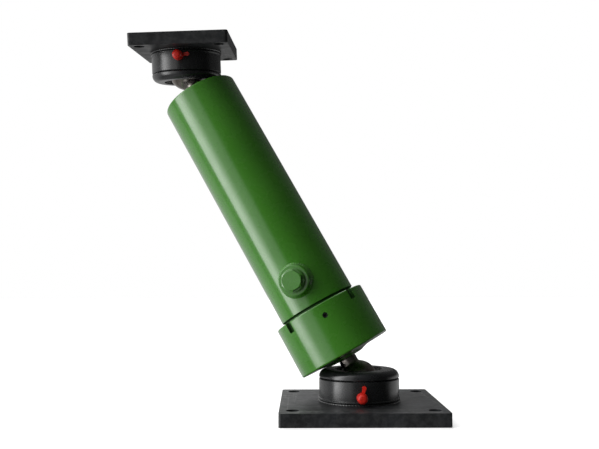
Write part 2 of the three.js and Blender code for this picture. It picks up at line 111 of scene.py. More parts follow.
def outwards(azimuth, height):
    """Turns a piece built along +Z to point away from the Z axis. Azimuth 0 is the front."""
    return (Matrix.Translation((0, 0, height * MM)) @ Matrix.Rotation(azimuth, 4, "Z")
            @ Matrix.Rotation(math.pi / 2, 4, "X"))


# ---------------------------------------------------------------- mesh helpers

def arc(cr, cz, radius, start, end, steps):
    points = []
    for i in range(steps + 1):
        a = (start + (end - start) * i / steps) * DEG
        points.append((cr + radius * math.cos(a), cz + radius * math.sin(a), 0))
    return points


def softened(profile, radius, steps=3):
    """Rounds each corner of a closed or axis-to-axis profile. A third number is a point's own radius."""
    count = len(profile)
    open_ended = profile[0][0] == 0 and profile[-1][0] == 0
    out = []
    for i, point in enumerate(profile):
        p = Vector(point[:2])
        r = point[2] if len(point) > 2 else radius
        at_end = open_ended and i in (0, count - 1)
        a = Vector(profile[i - 1][:2]) - p
        b = Vector(profile[(i + 1) % count][:2]) - p
        if r <= 0 or at_end or a.length < 1e-6 or b.length < 1e-6:
            out.append((p.x, p.y))
            continue
        turn = math.pi - a.angle(b)
        if turn < 8 * DEG:
            out.append((p.x, p.y))
            continue
        reach = min(r * math.tan(turn / 2), 0.42 * a.length, 0.42 * b.length)
        start, end = p + a.normalized() * reach, p + b.normalized() * reach
        for k in range(steps + 1):
            t = k / steps
            q = start * (1 - t) ** 2 + p * 2 * t * (1 - t) + end * t * t
            out.append((q.x, q.y))
    return out


def finish_mesh(name, bm, place):
    bmesh.ops.remove_doubles(bm, verts=bm.verts, dist=2e-6)
    bmesh.ops.recalc_face_normals(bm, faces=bm.faces)
    mesh = bpy.data.meshes.new(name)
    bm.to_mesh(mesh)
    bm.free()
    obj = bpy.data.objects.new(name, mesh)
    bpy.context.scene.collection.objects.link(obj)
    obj.matrix_world = place
    return obj


def lathe(name, profile, place, segments=ROUND, shape=None):
    """Turns a (radius, height) profile about Z. shape(angle, i, r, z) may move its points."""
    bm = bmesh.new()
    open_ended = profile[0][0] == 0 and profile[-1][0] == 0
    rows = []
    for i, (r, z) in enumerate(profile):
        if r == 0:
            rows.append([bm.verts.new((0, 0, z * MM))])
            continue
        row = []
        for s in range(segments):
            a = 2 * math.pi * s / segments
            rr, zz = shape(a, i, r, z) if shape else (r, z)
            row.append(bm.verts.new((rr * MM * math.cos(a), rr * MM * math.sin(a), zz * MM)))
        rows.append(row)
    pairs = list(zip(rows, rows[1:]))
    if not open_ended:
        pairs.append((rows[-1], rows[0]))
    for low, high in pairs:
        for s in range(segments):
            t = (s + 1) % segments
            corners = [low[s % len(low)], low[t % len(low)], high[t % len(high)], high[s % len(high)]]
            unique = list(dict.fromkeys(corners))
            if len(unique) > 2:
                bm.faces.new(unique)
    return finish_mesh(name, bm, place)


def extruded(name, outline, low, high, place):
    bm = bmesh.new()
    floor = [bm.verts.new((x * MM, y * MM, low * MM)) for x, y in outline]
    roof = [bm.verts.new((x * MM, y * MM, high * MM)) for x, y in outline]
    bm.faces.new(reversed(floor))
    bm.faces.new(roof)
    count = len(outline)
    for i in range(count):
        j = (i + 1) % count
        bm.faces.new((floor[i], floor[j], roof[j], roof[i]))
    return finish_mesh(name, bm, place)


def circle(x, y, radius, segments, turn=0.0):
    step = 2 * math.pi / segments
    return [(x + radius * math.cos(turn + i * step), y + radius * math.sin(turn + i * step))
            for i in range(segments)]


def hexagon(across_flats):
    return circle(0, 0, across_flats / 2 / math.cos(math.pi / 6), 6)


def baked(obj):
    """Applies the modifiers on obj."""
    bpy.context.view_layer.update()
    depsgraph = bpy.context.evaluated_depsgraph_get()
    mesh = bpy.data.meshes.new_from_object(obj.evaluated_get(depsgraph))
    old = obj.data
    obj.modifiers.clear()
    obj.data = mesh
    bpy.data.meshes.remove(old)
    return obj


def combine(obj, tools, operation):
    for tool in tools:
        m = obj.modifiers.new("cut", "BOOLEAN")
        m.operation, m.solver, m.object = operation, "EXACT", tool
    baked(obj)
    for tool in tools:
        bpy.data.objects.remove(tool)
    return obj


def bevelled(obj, width, segments=2, angle=38):
    m = obj.modifiers.new("bevel", "BEVEL")
    m.width, m.segments, m.limit_method, m.angle_limit = width * MM, segments, "ANGLE", angle * DEG
    m.use_clamp_overlap = True
    return baked(obj)


def smooth(obj):
    obj.data.polygons.foreach_set("use_smooth", [True] * len(obj.data.polygons))
    obj.data.set_sharp_from_angle(angle=50 * DEG)
    m = obj.modifiers.new("normals", "WEIGHTED_NORMAL")
    m.keep_sharp, m.weight = True, 60
    return obj


def piece(obj, node, body, material):
    """Puts a finished piece in the model in place of its CAD node."""
    smooth(obj)
    obj.data.materials.clear()
    obj.data.materials.append(material)
    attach(obj, body)
    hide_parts(node)
    return obj


def second_finish(obj, material, chosen):
    """Gives another material to the faces where chosen(radius, azimuth, height) is true."""
    obj.data.materials.append(material)
    for face in obj.data.polygons:
        x, y, z = face.center / MM
        if chosen(math.hypot(x, y), math.atan2(y, x), z):
            face.material_index = 1


# ---------------------------------------------------------------- materials

def add_node(tree, kind, inputs, settings):
    """Adds a shader node. An input is given as a value or as the socket that feeds it."""
    n = tree.nodes.new(kind)
    for key, value in settings.items():
        setattr(n, key, value)
    for key, value in (inputs or {}).items():
        if isinstance(value, bpy.types.NodeSocket):
            tree.links.new(value, n.inputs[key])
        else:
            n.inputs[key].default_value = value
    return n


class Material:
    """A node material with one Principled shader and short calls for what feeds it."""

    def __init__(self, name, **values):
        self.material = bpy.data.materials.new(name)
        self.material.use_nodes = True
        self.tree = self.material.node_tree
        self.shader = self.tree.nodes["Principled BSDF"]
        for key, value in values.items():
            self.shader.inputs[key.replace("_", " ")].default_value = value
        self.place = self.node("ShaderNodeTexCoord").outputs["Object"]

    def node(self, kind, inputs=None, **settings):
        return add_node(self.tree, kind, inputs, settings)

    def noise(self, scale, detail=2.0, rough=0.5, stretch=(1, 1, 1)):
        where = self.node("ShaderNodeMapping", {"Vector": self.place, "Scale": stretch}).outputs[0]
        inputs = {"Vector": where, "Scale": scale, "Detail": detail, "Roughness": rough}
        return self.node("ShaderNodeTexNoise", inputs).outputs["Fac"]

    def span(self, value, low, high, to_low=0.0, to_high=1.0):
        inputs = {"Value": value, 1: low, 2: high, 3: to_low, 4: to_high}
        return self.node("ShaderNodeMapRange", inputs, clamp=True).outputs[0]

    def math(self, operation, a, b):
        return self.node("ShaderNodeMath", {0: a, 1: b}, operation=operation).outputs[0]

    def mix(self, factor, a, b):
        n = self.node("ShaderNodeMix", {0: factor, 6: a, 7: b}, data_type="RGBA")
        return n.outputs[2]

    def edges(self, low=0.53, high=0.62):
        """1 on sharp convex edges, 0 on flat faces."""
        return self.span(self.node("ShaderNodeNewGeometry").outputs["Pointiness"], low, high)

    def hollows(self):
        """1 in sharp inner corners, 0 on flat faces."""
        return self.span(self.node("ShaderNodeNewGeometry").outputs["Pointiness"], 0.47, 0.40)

    def bump(self, heights):
        """heights is a list of (height, depth in mm), each on top of the last."""
        normal = None
        for height, depth in heights:
            inputs = {"Height": height, "Distance": depth * MM, "Strength": 1.0}
            if normal:
                inputs["Normal"] = normal
            normal = self.node("ShaderNodeBump", inputs).outputs[0]
        self.link(normal, "Normal")
        if self.shader.inputs["Coat Weight"].default_value:
            self.link(normal, "Coat Normal")

    def link(self, output, name):
        self.tree.links.new(output, self.shader.inputs[name])


def rgb(r, g, b):
    return (r, g, b, 1.0)


def enamel():
    m = Material("gloss_green_enamel", Coat_Weight=1.0, Coat_Roughness=0.045, Coat_IOR=1.5)
    clouds = m.span(m.noise(14, 3), 0.3, 0.7)
    colour = m.mix(clouds, rgb(0.050, 0.232, 0.014), rgb(0.062, 0.268, 0.019))
    specks = m.span(m.noise(700, 3, 0.7), 0.70, 0.78)
    colour = m.mix(m.math("MULTIPLY", specks, 0.30), colour, rgb(0.16, 0.34, 0.10))
    thin = m.math("MULTIPLY", m.edges(), m.span(m.noise(160, 3), 0.35, 0.65))
    colour = m.mix(m.math("MULTIPLY", thin, 0.35), colour, rgb(0.11, 0.30, 0.07))
    # Painted shade: sharp inner corners are darkened to a deep green, where shade falls.
    colour = m.mix(m.math("MULTIPLY", m.hollows(), 0.55), colour, rgb(0.010, 0.055, 0.006))
    m.link(colour, "Base Color")
    m.link(m.span(m.noise(60, 4), 0.3, 0.7, 0.20, 0.34), "Roughness")
    runs = m.noise(30, 2, 0.5, (1, 1, 0.35))
    m.bump([(runs, 0.07), (m.noise(420, 2), 0.006)])
    return m.material


def painted_shade_enamel():
    """Thin, dark paint that stands in for shade: painted shade down in the thread relief and the spanner
    slots, with a mottle through it.
    """
    m = Material("painted_shade_green_enamel", Specular_IOR_Level=0.25)
    # Both tones are deep greens that paint in shade, not the paint's own colour: painted shade, mottled by
    # noise.
    shade_mottle = m.span(m.noise(260, 5, 0.7), 0.35, 0.65)
    m.link(m.mix(shade_mottle, rgb(0.008, 0.034, 0.005), rgb(0.018, 0.085, 0.009)), "Base Color")
    m.link(m.span(m.noise(400, 3), 0.3, 0.7, 0.45, 0.7), "Roughness")
    m.bump([(m.noise(500, 4), 0.03)])
    return m.material


def black_paint(name, light, wear, gloss, roughness):
    m = Material(name, Specular_IOR_Level=gloss)
    patches = m.span(m.noise(38, 6, 0.65), 0.30, 0.76)
    grain = m.span(m.noise(620, 4, 0.7), 0.3, 0.75)
    colour = m.mix(patches, rgb(0.0085, 0.0095, 0.0095), rgb(light, light * 1.10, light * 1.26))
    colour = m.mix(m.math("MULTIPLY", grain, 0.35), colour, rgb(light * 1.6, light * 1.6, light * 1.6))
    dust = m.math("MULTIPLY", m.span(m.noise(900, 2, 0.8), 0.68, 0.76), 0.5)
    colour = m.mix(dust, colour, rgb(0.10, 0.10, 0.095))
    worn = m.math("MULTIPLY", m.edges(0.52, 0.60), m.span(m.noise(120, 5, 0.7), 0.42, 0.62))
    colour = m.mix(m.math("MULTIPLY", worn, wear), colour, rgb(0.20, 0.20, 0.20))
    m.link(colour, "Base Color")
    rough = m.span(m.noise(70, 6, 0.7), 0.3, 0.7, roughness * 0.75, roughness * 1.25)
    m.link(rough, "Roughness")
    m.bump([(m.noise(90, 3), 0.05), (m.noise(900, 3, 0.6), 0.010)])
    return m.material


def turned_metal(name, colour_a, colour_b, rough, ring_scale, ring_depth, grease=0.0):
    """Metal with lathe rings round the piece's own Z axis."""
    m = Material(name, Metallic=1.0)
    tone = m.span(m.noise(90, 5, 0.6), 0.3, 0.7)
    colour = m.mix(tone, colour_a, colour_b)
    stain = m.span(m.noise(45, 6, 0.7), 0.52, 0.72)
    colour = m.mix(m.math("MULTIPLY", stain, grease), colour, rgb(0.10, 0.075, 0.045))
    m.link(colour, "Base Color")
    rings = m.noise(ring_scale, 3, 0.6, (0.02, 0.02, 1))
    scratch = m.noise(500, 4, 0.7)
    m.link(m.span(m.math("ADD", rings, scratch), 0.7, 1.3, rough * 0.7, rough * 1.5), "Roughness")
    m.bump([(rings, ring_depth)])
    return m.material


def plain(name, colour_a, colour_b, rough, scale, depth, **values):
    """A moulded, cast or plated finish: two tones, uneven gloss and a fine grain."""
    m = Material(name, **values)
    tone = m.span(m.noise(scale * 0.25, 5, 0.6), 0.3, 0.7)
    colour = m.mix(tone, colour_a, colour_b)
    lit = tuple(min(1.0, c * 1.5) for c in colour_b[:3]) + (1.0,)
    colour = m.mix(m.math("MULTIPLY", m.edges(), 0.4), colour, lit)
    m.link(colour, "Base Color")
    m.link(m.span(m.noise(scale, 4, 0.6), 0.3, 0.7, rough * 0.8, rough * 1.25), "Roughness")
    m.bump([(m.noise(scale * 2, 3), depth)])
    return m.material


GREEN = enamel()
# Painted shade: a dark enamel for the thread relief and the spanner slots.
PAINTED_SHADE_ENAMEL = painted_shade_enamel()
PLATE = black_paint("black_plate_paint", 0.029, 0.8, 0.33, 0.42)
BLACK = black_paint("black_socket_paint", 0.018, 0.45, 0.8, 0.26)
STEEL = turned_metal("turned_steel", rgb(0.34, 0.31, 0.285), rgb(0.22, 0.20, 0.18), 0.27, 2600, 0.006, 0.7)
CHROME = turned_metal("hard_chrome", rgb(0.62, 0.63, 0.64), rgb(0.56, 0.57, 0.58), 0.10, 3600, 0.0015, 0.06)
SPRING = plain("phosphated_steel", rgb(0.060, 0.058, 0.056), rgb(0.11, 0.105, 0.10), 0.42, 600, 0.01,
               Metallic=0.85)
SCREW = plain("black_oxide_screw", rgb(0.012, 0.012, 0.012), rgb(0.03, 0.03, 0.03), 0.40, 600, 0.01,
              Metallic=0.6)
ZINC = plain("zinc_plate", rgb(0.58, 0.58, 0.56), rgb(0.66, 0.65, 0.60), 0.28, 500, 0.006, Metallic=1.0)
BRONZE = turned_metal("bearing_bronze", rgb(0.56, 0.36, 0.16), rgb(0.46, 0.29, 0.12), 0.30, 2000, 0.006)
RED = plain("red_cap_plastic", rgb(0.74, 0.018, 0.010), rgb(0.84, 0.030, 0.016), 0.34, 300, 0.02,
            Subsurface_Weight=0.12, Subsurface_Scale=0.002)
NYLON = plain("nylon", rgb(0.60, 0.58, 0.50), rgb(0.68, 0.66, 0.58), 0.42, 260, 0.015,
              Subsurface_Weight=0.2, Subsurface_Scale=0.002)
RUBBER = plain("dark_rubber", rgb(0.010, 0.010, 0.010), rgb(0.020, 0.020, 0.021), 0.62, 420, 0.03)

# ---------------------------------------------------------------- ball-joint mounts


def rounded_rectangle(width, depth, corner, steps=8):
    points = []
    for sx, sy, start in ((1, 1, 0), (-1, 1, 90), (-1, -1, 180), (1, -1, 270)):
        cx, cy = sx * (width / 2 - corner), sy * (depth / 2 - corner)
        points += [(x, y) for x, y, _ in arc(cx, cy, corner, start, start + 90, steps)]
    return points


def mounting_plate(name, plate, place):
    top = -BALL_ABOVE_PLATE
    outline = rounded_rectangle(plate["w"], plate["d"], plate["corner"])
    obj = extruded(name, outline, top - plate["t"], top, place)
    tools = []
    for sx, sy in ((1, 1), (-1, 1), (-1, -1), (1, -1)):
        hole = circle(sx * plate["hx"], sy * plate["hy"], plate["hole"], 64)
        tools.append(extruded("tool", hole, top - plate["t"] - 5, top + 5, place))
    combine(obj, tools, "DIFFERENCE")
    return bevelled(obj, 0.7, 3, 50)


def socket_profile(outer):
    return softened([
        (27, SOCKET_BOTTOM), (outer - 2.5, SOCKET_BOTTOM), (outer - 2.5, -22.2),
        (outer + 1, -22.2), (outer + 1, -20.6), (outer, -19.9), (outer, 1.3), (outer - 0.9, 2.2),
        (POCKET_R, 2.2), (POCKET_R, -21.2), (27, -21.2)], 0.45)


def weld_bead(name, outer, place):
    profile = softened([
        (outer - 2.2, SOCKET_BOTTOM), (outer + 1.3, SOCKET_BOTTOM),
        (outer + 1.0, -23.4, 0.8), (outer + 0.2, -22.7, 0.8), (outer - 2.2, -22.5)], 0.3, 4)

    def ripples(a, i, r, z):
        if r < outer - 0.5:
            return r, z
        wave = math.sin(a * 84 + 1.5 * noise.noise(Vector((math.cos(a) * 3, math.sin(a) * 3, 0))))
        lump = noise.noise(Vector((math.cos(a) * 9, math.sin(a) * 9, z * 0.2)))
        return r + 0.12 * wave + 0.18 * lump, z

    return lathe(name, profile, place, 504, ripples)


def ring_profile(outer):
    inner = arc(0, 0, SEAT_R, -3.8, math.asin(RECESS_FLOOR / SEAT_R) / DEG, 6)
    shoulder = arc(outer - SHOULDER_R, RING_TOP - SHOULDER_R, SHOULDER_R, 90, 0, 14)
    return softened(inner + [
        (RECESS_R, RECESS_FLOOR), (RECESS_R, 10.1), (RECESS_R + 0.9, 10.1),
        (RECESS_R + 0.9, 11.3), (RECESS_R, 11.3), (RECESS_R, 12.0), (RECESS_R + 0.5, RING_TOP),
        *shoulder, (outer, 3.7), (outer - 0.9, 2.9), (POCKET_R - RUN, 2.9),
        (POCKET_R - RUN, SEAT_R * math.sin(-3.8 * DEG))], 0.25)


def seat_profile():
    sphere = arc(0, 0, SEAT_R, -5, -61, 16)
    return softened([*sphere, (11, -21), (33, -21), (33, -14), (32, -13), (33, -12),
                     (33, SEAT_R * math.sin(-5 * DEG))], 0.3)


def dust_ring_profile():
    return softened([(21, 8.8), (28, 8.8), (28, 10), (24, 10.05), (20.5, 10)], 0.35)


def circlip(name, gap_azimuth, place):
    outer_r, inner_r, lug_r, gap, lug = RECESS_R + 0.6, 26.2, 22.8, 7, 10

    def polar(r, degrees):
        return r * math.cos(degrees * DEG), r * math.sin(degrees * DEG)

    outline = [polar(outer_r, gap + (360 - 2 * gap) * i / 120) for i in range(121)]
    outline += [polar(lug_r, 360 - gap), polar(lug_r, 360 - gap - lug)]
    inner = 360 - 2 * (gap + lug)
    outline += [polar(inner_r, 360 - gap - lug - inner * i / 100) for i in range(101)]
    outline += [polar(lug_r, gap + lug), polar(lug_r, gap)]
    turned = place @ Matrix.Rotation(gap_azimuth, 4, "Z")
    obj = extruded(name, outline, 10.2, 11.2, turned)
    tools = []
    for degrees in (gap + lug / 2, -gap - lug / 2):
        x, y = polar(24.9, degrees)
        tools.append(extruded("tool", circle(x, y, 1.1, 24), 9, 13, turned))
    combine(obj, tools, "DIFFERENCE")
    return bevelled(obj, 0.18)


def crowned_hexagon(name, across_flats, low, high, chamfer, place):
    """A hexagon whose end is turned to a cone at its corners."""
    corner = across_flats / 2 / math.cos(math.pi / 6)
    obj = extruded(name, hexagon(across_flats), low, high, place)
    crown = lathe("tool", [(0, low - 1), (corner + 2, low - 1), (corner + 2, high - chamfer * 2.1),
                           (across_flats / 2 - 0.2, high), (0, high)], place, 96)
    combine(obj, [crown], "INTERSECT")
    return obj


def grease_nipple(name, outer, azimuth, place):
    where = place @ outwards(azimuth, NIPPLE_HEIGHT)
    start = outer + 0.1
    body = lathe(name, softened([
        (0, outer - 10.5), (2.4, outer - 10.5), (2.8, outer - 10), (2.8, start + 3.5),
        (2.0, start + 5.1), (3.1, start + 6.6), (3.1, start + 7.0), (2.3, start + 8.6),
        (0, start + 8.6)], 0.3), where, SMALL)
    hexa = crowned_hexagon("tool", 8, start, start + 3.5, 0.4, where)
    combine(body, [hexa], "UNION")
    return bevelled(body, 0.12)


def nipple_cap(name, outer, azimuth, tongue_angle, place):
    """A pull-off cap: a domed cup with a rim and a tongue that has a rounded pull tab."""
    where = place @ outwards(azimuth, NIPPLE_HEIGHT)
    start = outer + 1.3
    shell = lathe(name, softened([
        (0, start + 10.3), (3, start + 9.9, 1), (4.95, start + 8.2, 1), (4.95, start),
        (6.15, start), (6.2, start + 1.2), (5.85, start + 1.7), (5.9, start + 8.4, 1.5),
        (5.2, start + 10.6, 2), (3.2, start + 11.7, 2), (0, start + 12)], 0.3, 4), where, SMALL)
    tip = [(x, y) for x, y, _ in arc(0, 11.2, 2.5, 0, 180, 16)]
    outline = [(-2, 5.4), (2, 5.4), (1.7, 7.4), (1.9, 9.0), *tip, (-1.9, 9.0), (-1.7, 7.4)]
    turn = where @ Matrix.Rotation(tongue_angle, 4, "Z")
    tongue = extruded("tool", outline, start + 0.6, start + 2.8, turn)
    combine(shell, [tongue], "UNION")
    return bevelled(shell, 0.35, 3)


def ball_stud(name, stem, shank, place):
    join = math.acos(STEM_R / BALL_R) / DEG
    ball = [(max(r, 0.0) if i else 0, z, 0) for i, (r, z, _) in
            enumerate(arc(0, 0, BALL_R, -90, join - 3, 40))]
    neck_z = BALL_R * math.sin(join * DEG)
    profile = [*ball, (STEM_R + 0.35, neck_z + 0.2, 2.0), (STEM_R, neck_z + 1.6, 0.8),
               (STEM_R, stem), (SHANK_R, stem), (SHANK_R, stem + shank - 1.5),
               (SHANK_R - 1.5, stem + shank), (0, stem + shank)]
    return lathe(name, softened(profile, 0.4), place)


def build_mount(prefix, plate, outer, place, body, seat_body, cap_body, seat_look, nipple_at,
                tongue, gap):
    def label(part):
        return f"vis_{prefix}_{part}"

    parts = {
        "plate": (mounting_plate(label("plate"), plate, place), body, "black_paint", PLATE),
        "weld_bead": (weld_bead(label("weld_bead"), outer, place), body, "black_paint", BLACK),
        "socket": (lathe(label("socket"), socket_profile(outer), place), body,
                   "black_paint", BLACK),
        "retaining_ring": (lathe(label("retaining_ring"), ring_profile(outer), place), body,
                           "black_paint", BLACK),
        "dust_ring": (lathe(label("dust_ring"), dust_ring_profile(), place), body,
                      "dark_rubber", RUBBER),
        "circlip": (circlip(label("circlip"), gap, place), body, "spring_steel", SPRING),
        "grease_nipple": (grease_nipple(label("grease_nipple"), outer, nipple_at, place), body,
                          "zinc_plate", ZINC),
        "nipple_cap": (nipple_cap(label("nipple_cap"), outer, nipple_at, tongue, place), cap_body,
                       "red_plastic", RED),
        "seat": (lathe(label("seat"), seat_profile(), place), seat_body, *seat_look),
    }
    for part, (obj, on, slot_name, material) in parts.items():
        piece(obj, f"{prefix}_{part}", on, material)


build_mount("base", BASE_PLATE, BASE_SOCKET_R, BASE, "base_mount", "base_seat", "base_cap",
            ("bronze", BRONZE), 0, -12 * DEG, 130 * DEG)
build_mount("top", TOP_PLATE, TOP_SOCKET_R, TOP, "top_mount", "top_seat", "top_cap",
            ("nylon", NYLON), 4 * DEG, 95 * DEG, 0)

base_stud = ball_stud("vis_base_ball_stud", CUP_NOSE - RUN, CUP_BOTTOM + STUD_HOLE_DEPTH - CUP_NOSE,
                      CYLINDER)
piece(base_stud, "base_ball_stud", "base_stud", STEEL)
rod_stud = ball_stud("vis_rod_ball_stud", BALL_SPACING - PLUNGER["top"] - RUN,
                     STUD_HOLE_DEPTH - RUN, ROD)
piece(rod_stud, "rod_ball_stud", "rod_stud", STEEL)

# ---------------------------------------------------------------- cup and barrel


def base_cup():
    stud = CUP_BOTTOM + STUD_HOLE_DEPTH
    hole = SHANK_R + RUN
    obj = lathe("vis_base_cup", softened([
        (0, stud), (hole, stud), (hole, CUP_NOSE), *CUP_CROWN, (CUP_R, CUP_BOTTOM, 2.2),
        (CUP_R, CUP_TOP, 1.6), (CUP_BORE + 3.0, CUP_TOP, 0.5), (CUP_BORE, CUP_TOP - 3.8, 0.5),
        (CUP_BORE, O_RING_AT + 1.7), (CUP_BORE + 2.4, O_RING_AT + 1.7),
        (CUP_BORE + 2.4, O_RING_AT - 1.7), (CUP_BORE, O_RING_AT - 1.7),
        (CUP_BORE, CUP_FLOOR), (0, CUP_FLOOR)], 0.3, 5), CYLINDER)
    tools = []
    for i in range(4):
        half = SLOT_WIDTH / 2
        turn = CYLINDER @ Matrix.Rotation((45 + i * 90) * DEG, 4, "Z")
        outline = [(-half, -CUP_R - 6), (half, -CUP_R - 6), (half, -CUP_R + SLOT_DEPTH),
                   (-half, -CUP_R + SLOT_DEPTH)]
        slot_tool = extruded("tool", outline, SLOT_FLOOR, CUP_TOP + 6, turn)
        tools.append(bevelled(slot_tool, 1.0, 4))
    where = CYLINDER @ outwards(SCREW_AZIMUTH, SCREW_AT)
    tools.append(extruded("tool", circle(0, 0, SCREW_HOLE_R, 40), CUP_BORE - 2, CUP_R + 4, where))
    combine(obj, tools, "DIFFERENCE")
    return bevelled(obj, 0.45, 2, 55)


def set_screw():
    where = CYLINDER @ outwards(SCREW_AZIMUTH, SCREW_AT)
    obj = lathe("vis_cup_set_screw", softened([
        (0, BARREL["r"] + 0.4), (2, BARREL["r"] + 0.4), (SCREW_R, BARREL["r"] + 1.4),
        (SCREW_R, CUP_R - 1), (SCREW_R - 0.4, CUP_R - 0.6), (0, CUP_R - 0.6)], 0.15), where, SMALL)
    key = extruded("tool", hexagon(SCREW_KEY), CUP_R - 4, CUP_R + 1, where)
    combine(obj, [key], "DIFFERENCE")
    return bevelled(obj, 0.1)


# Grooves in a tube's gland: distances down from its top, and depths from the sliding surface.
GLAND_LENGTH, GLAND_CLEARANCE = 34, 0.4
GUIDE_BOTTOM, GUIDE_TOP, GUIDE_DEPTH = 31, 21, 2.2
SEAL_BOTTOM, SEAL_TOP, SEAL_DEPTH = 17, 11, 4.2
WIPER_BOTTOM = 6

# Grooves in a tube's foot: distances up from its bottom, and their depth.
BAND_BOTTOM, BAND_TOP, STOP_BOTTOM, STOP_TOP, FOOT_DEPTH = 4, 16, 36, 40.6, 1.6


def gland_profile(tube, shaft_r):
    top, bore = tube["top"], shaft_r + GLAND_CLEARANCE
    points = [(tube["bore"], top - GLAND_LENGTH), (bore, top - GLAND_LENGTH)]
    for bottom, roof, depth in ((GUIDE_BOTTOM, GUIDE_TOP, GUIDE_DEPTH),
                                (SEAL_BOTTOM, SEAL_TOP, SEAL_DEPTH)):
        points += [(bore, top - bottom), (shaft_r + depth, top - bottom),
                   (shaft_r + depth, top - roof), (bore, top - roof)]
    return points + [(bore, top - WIPER_BOTTOM), (shaft_r + SEAL_DEPTH, top - WIPER_BOTTOM),
                     (shaft_r + SEAL_DEPTH, top)]


def foot_profile(tube):
    r, groove, low = tube["r"], tube["r"] - FOOT_DEPTH, tube["bottom"]
    points = []
    for roof, bottom in ((STOP_TOP, STOP_BOTTOM), (BAND_TOP, BAND_BOTTOM)):
        points += [(r, low + roof), (groove, low + roof), (groove, low + bottom), (r, low + bottom)]
    return points + [(r, low)]


def stage_tube(name, tube, shaft_r):
    low = tube["bottom"]
    return lathe(name, softened([
        (tube["flange"], low), (tube["flange"], low + FLANGE), (tube["bore"], low + FLANGE),
        *gland_profile(tube, shaft_r), (tube["r"] - 0.8, tube["top"]),
        (tube["r"], tube["top"] - 0.8), *foot_profile(tube)], 0.25), CYLINDER, INNER)


def ring(name, inner_r, outer_r, bottom, top, place=CYLINDER):
    return lathe(name, softened([(inner_r, bottom), (outer_r, bottom), (outer_r, top),
                                 (inner_r, top)], 0.3), place, INNER)


def build_gland(prefix, tube, shaft_r):
    top = tube["top"]
    guide = ring(f"vis_{prefix}_guide_ring", shaft_r + RUN, shaft_r + GUIDE_DEPTH - RUN,
                 top - GUIDE_BOTTOM + RUN, top - GUIDE_TOP - RUN)
    piece(guide, f"{prefix}_guide_ring", prefix, BRONZE)
    inner, outer = shaft_r + RUN, shaft_r + SEAL_DEPTH - RUN
    low, high = top - SEAL_BOTTOM + RUN, top - SEAL_TOP - RUN
    seal = lathe(f"vis_{prefix}_lip_seal", softened([
        (inner, low), (inner, high), (outer, high), (outer, low), (outer - 1.1, low),
        ((inner + outer) / 2, low + 2.4), (inner + 1.1, low)], 0.2), CYLINDER, INNER)
    piece(seal, f"{prefix}_lip_seal", prefix, NYLON)
    foot = top - WIPER_BOTTOM + RUN
    lip = lathe(f"vis_{prefix}_wiper", softened([
        (shaft_r + 1.2, foot), (outer, foot), (outer, top - 0.4),
        (shaft_r + 1.4, top - 0.4), (shaft_r + 0.8, top + 0.4), (shaft_r + RUN, top + 0.4, 0),
        (shaft_r + 0.6, top - 2.5)], 0.25), CYLINDER, INNER)
    piece(lip, f"{prefix}_wiper", prefix, RUBBER)


def build_foot(prefix, tube, bore_r):
    r, low = tube["r"] - FOOT_DEPTH + RUN, tube["bottom"]
    band = ring(f"vis_{prefix}_bearing_band", r, bore_r - RUN, low + BAND_BOTTOM + RUN,
                low + BAND_TOP - RUN)
    piece(band, f"{prefix}_bearing_band", prefix, BRONZE)
    stop = ring(f"vis_{prefix}_stop_ring", r, bore_r - RUN, low + STOP_BOTTOM + RUN,
                low + STOP_TOP - RUN)
    piece(stop, f"{prefix}_stop_ring", prefix, SPRING)


def in_slot(r, azimuth, z):
    """True on the walls and floor of the cup's spanner slots."""
    across_slot = (azimuth / DEG + 45) % 90 - 45
    return z > SLOT_FLOOR - 0.3 and r < CUP_R - 0.6 and abs(abs(across_slot) - 45) * DEG * r < 4.3


cup = piece(base_cup(), "base_cup", "barrel", GREEN)
# The spanner slots get the dark enamel: painted shade where shade falls in them.
second_finish(cup, PAINTED_SHADE_ENAMEL, in_slot)
o_ring = lathe("vis_cup_o_ring", [(r, z) for r, z, _ in arc(48.95, O_RING_AT, 1.05, 0, 337.5, 15)],
               CYLINDER, INNER)
piece(o_ring, "cup_o_ring", "barrel", RUBBER)
piece(set_screw(), "cup_set_screw", "barrel", SCREW)

barrel_profile = softened([
    (BARREL["bore"], BARREL["bottom"]), *gland_profile(BARREL, STAGE_1["r"]),
    (BARREL["r"], BARREL["top"], 2.0), (BARREL["r"], RELIEF_TOP, 0.3),
    (RELIEF_R, RELIEF_TOP - RELIEF_SLOPE, 0.5), (RELIEF_R, RELIEF_BOTTOM, 0.5),
    (BARREL["r"], RELIEF_BOTTOM - RELIEF_SLOPE, 0.3), (BARREL["r"], BARREL["bottom"], 1.0)], 0.3, 5)
tube = piece(lathe("vis_barrel_tube", barrel_profile, CYLINDER), "barrel_tube", "barrel",
             GREEN)
# The thread relief, and the tube below it inside the cup, get the dark enamel: the dark line above the
# cup's rim is painted shade.
second_finish(tube, PAINTED_SHADE_ENAMEL, lambda r, a, z: BARREL["bottom"] < z < RELIEF_TOP and r > RELIEF_R - 1)
build_gland("barrel", BARREL, STAGE_1["r"])

# ---------------------------------------------------------------- oil port

PORT = CYLINDER @ outwards(PORT_AZIMUTH, PORT_AT)


